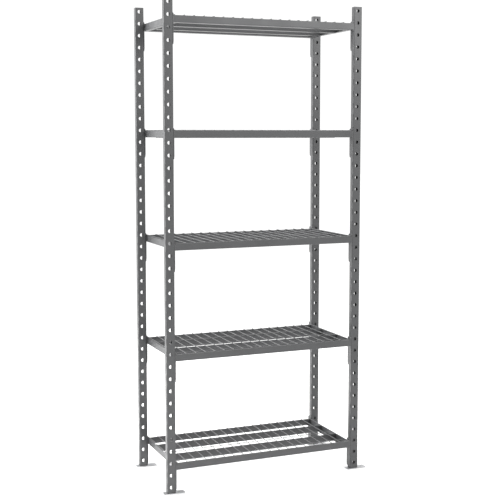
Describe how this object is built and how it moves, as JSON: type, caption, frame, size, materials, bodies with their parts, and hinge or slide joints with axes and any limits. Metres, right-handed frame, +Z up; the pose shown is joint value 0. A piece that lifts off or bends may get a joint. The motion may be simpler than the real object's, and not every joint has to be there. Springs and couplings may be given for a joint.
{
  "type": "boltless steel shelving unit",
  "caption": "Free-standing boltless steel shelving: perforated C-section posts on foot plates, hook-in steel frames and lift-out wire mesh decks",
  "frame": {"origin": "on the floor, at the middle of the footprint (foot plates and corner brackets included)", "axes": "+Z up, +Y from the front (holed faces) to the back, +X to the right seen from the front"},
  "size_m": [0.93, 0.418, 1.995],
  "materials": {
    "grey_paint": "semi-gloss dark grey powder coat on rolled steel",
    "wire_paint": "semi-gloss dark grey powder coat on drawn wire",
    "plated_steel": "dull zinc-plated sheet"
  },
  "bodies": {
    "frame": {"front_left_post": "grey_paint", "front_right_post": "grey_paint", "rear_left_post": "grey_paint", "rear_right_post": "grey_paint", "front_left_foot_plate": "plated_steel", "front_right_foot_plate": "plated_steel", "rear_left_foot_plate": "plated_steel", "rear_right_foot_plate": "plated_steel", "shelf_1_front_beam": "grey_paint", "shelf_1_rear_beam": "grey_paint", "shelf_1_left_side_beam": "grey_paint", "shelf_1_right_side_beam": "grey_paint", "shelf_1_front_support_channel": "grey_paint", "shelf_1_rear_support_channel": "grey_paint", "shelf_1_corner_brackets": "grey_paint", "shelf_2_front_beam": "grey_paint", "shelf_2_rear_beam": "grey_paint", "shelf_2_left_side_beam": "grey_paint", "shelf_2_right_side_beam": "grey_paint", "shelf_2_front_support_channel": "grey_paint", "shelf_2_rear_support_channel": "grey_paint", "shelf_2_corner_brackets": "grey_paint", "shelf_3_front_beam": "grey_paint", "shelf_3_rear_beam": "grey_paint", "shelf_3_left_side_beam": "grey_paint", "shelf_3_right_side_beam": "grey_paint", "shelf_3_front_support_channel": "grey_paint", "shelf_3_rear_support_channel": "grey_paint", "shelf_3_corner_brackets": "grey_paint", "shelf_4_front_beam": "grey_paint", "shelf_4_rear_beam": "grey_paint", "shelf_4_left_side_beam": "grey_paint", "shelf_4_right_side_beam": "grey_paint", "shelf_4_front_support_channel": "grey_paint", "shelf_4_rear_support_channel": "grey_paint", "shelf_4_corner_brackets": "grey_paint", "shelf_5_front_beam": "grey_paint", "shelf_5_rear_beam": "grey_paint", "shelf_5_left_side_beam": "grey_paint", "shelf_5_right_side_beam": "grey_paint", "shelf_5_front_support_channel": "grey_paint", "shelf_5_rear_support_channel": "grey_paint", "shelf_5_corner_brackets": "grey_paint"},
    "deck_1": {"shelf_1_wire_deck": "wire_paint"},
    "deck_2": {"shelf_2_wire_deck": "wire_paint"},
    "deck_3": {"shelf_3_wire_deck": "wire_paint"},
    "deck_4": {"shelf_4_wire_deck": "wire_paint"},
    "deck_5": {"shelf_5_wire_deck": "wire_paint"}
  },
  "joints": [
    {"name": "lift_deck_1", "type": "slide", "parent": "frame", "child": "deck_1", "axis": [0, 0, 1], "range_m": [0, 0.12]},
    {"name": "lift_deck_2", "type": "slide", "parent": "frame", "child": "deck_2", "axis": [0, 0, 1], "range_m": [0, 0.12]},
    {"name": "lift_deck_3", "type": "slide", "parent": "frame", "child": "deck_3", "axis": [0, 0, 1], "range_m": [0, 0.12]},
    {"name": "lift_deck_4", "type": "slide", "parent": "frame", "child": "deck_4", "axis": [0, 0, 1], "range_m": [0, 0.12]},
    {"name": "lift_deck_5", "type": "slide", "parent": "frame", "child": "deck_5", "axis": [0, 0, 1], "range_m": [0, 0.12]}
  ]
}
